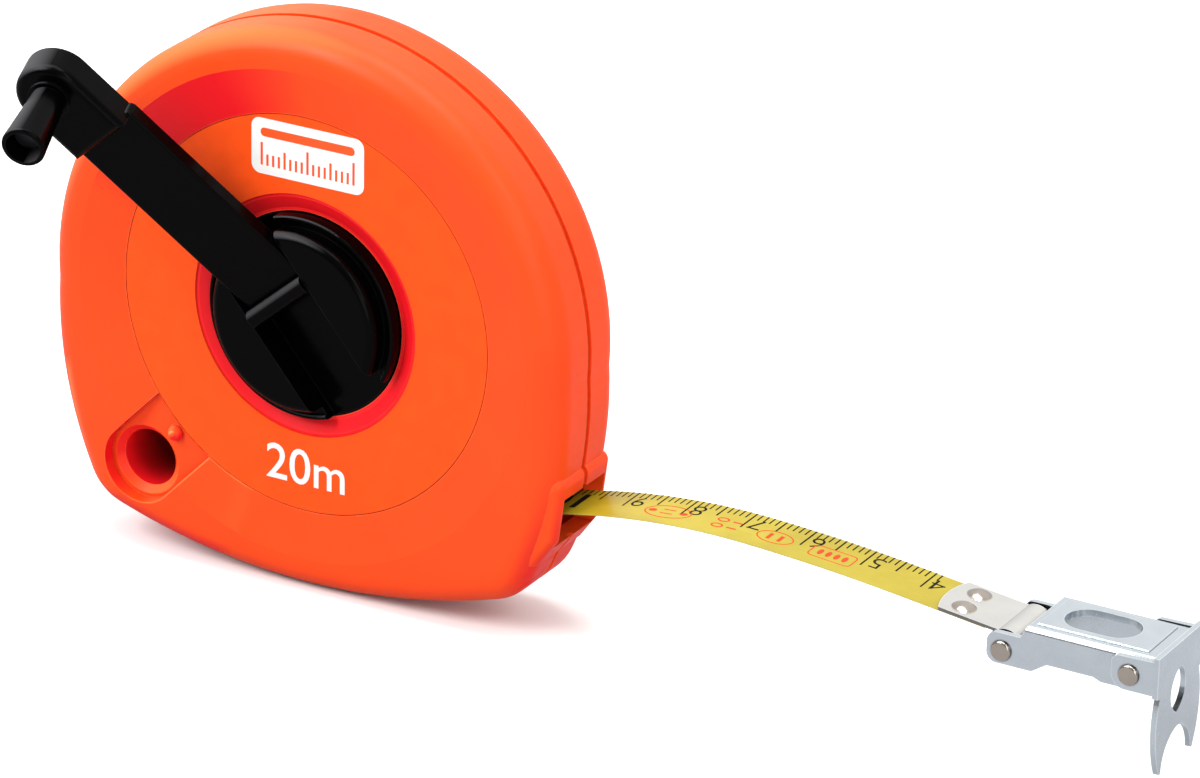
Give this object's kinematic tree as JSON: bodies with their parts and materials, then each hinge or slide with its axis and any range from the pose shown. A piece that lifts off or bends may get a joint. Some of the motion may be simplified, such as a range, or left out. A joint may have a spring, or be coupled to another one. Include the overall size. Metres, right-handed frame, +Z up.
{
  "type": "tape reel",
  "caption": "Closed-case surveyor's tape reel with a folding winding crank, a flexible graduated steel blade and a hinged folding claw hook.",
  "frame": {"origin": "reel axis at the flat rear face of the case", "axes": "+X the way the blade is pulled out, +Y along the reel axis out of the rear face, +Z up"},
  "size_m": [0.1879, 0.0518, 0.0896],
  "materials": {
    "orange_shell": "fine satin",
    "orange_label": "satin film",
    "gloss_black": "gloss",
    "black_plastic": "matte",
    "yellow_blade": "satin lacquer",
    "hook_steel": "bright zinc",
    "steel_pin": "ground",
    "zinc_screw": "zinc plated"
  },
  "bodies": {
    "case": {"front_shell": "orange_shell", "rear_shell": "orange_shell", "front_label": "orange_label", "rear_label": "orange_label", "case_screws": "zinc_screw", "reel_washer": "zinc_screw", "reel_screw": "zinc_screw", "blade_lead": "yellow_blade"},
    "reel": {"hub": "gloss_black", "hinge_pin": "steel_pin", "front_flange": "black_plastic", "rear_flange": "black_plastic", "drum": "black_plastic", "anchor_clip": "steel_pin", "hub_screws": "zinc_screw", "blade_coil": "yellow_blade"},
    "crank": {"crank_arm": "gloss_black", "knob_stud": "steel_pin"},
    "knob": {"crank_knob": "gloss_black"},
    "blade": {"blade_run": "yellow_blade", "end_plate": "hook_steel", "end_rivets": "hook_steel"},
    "bracket": {"hook_bracket": "hook_steel", "knuckle_pin": "hook_steel"},
    "claw": {"claw": "hook_steel", "claw_pin": "hook_steel"}
  },
  "joints": [
    {"name": "reel_spin", "type": "hinge", "parent": "case", "child": "reel", "pos_m": [0, 0, 0], "axis": [0, 1, 0], "range_deg": [-16, 120]},
    {"name": "blade_feed", "type": "slide", "parent": "case", "child": "blade", "axis": [1, 0, 0], "range_m": [-0.0675, 0.0092], "deforming": ["blade_run"]},
    {"name": "crank_fold", "type": "hinge", "parent": "reel", "child": "crank", "pos_m": [-0.00246, -0.02, 0.00289], "axis": [0.7615, 0, 0.6481], "range_deg": [0, 138]},
    {"name": "knob_spin", "type": "hinge", "parent": "crank", "child": "knob", "pos_m": [-0.03095, -0.03749, 0.03636], "axis": [0.2396, -0.9291, -0.2816], "continuous": true},
    {"name": "hook_hinge", "type": "hinge", "parent": "blade", "child": "bracket", "pos_m": [0.1175, -0.0093, -0.0265], "axis": [0, 1, 0], "range_deg": [-60, 80]},
    {"name": "claw_hinge", "type": "hinge", "parent": "bracket", "child": "claw", "pos_m": [0.1382, -0.0093, -0.0247], "axis": [0, 1, 0], "range_deg": [0, 88]}
  ],
  "couplings": [
    {"joint": "blade_feed", "follows": "reel_spin", "m_per_rad": -0.0316}
  ]
}
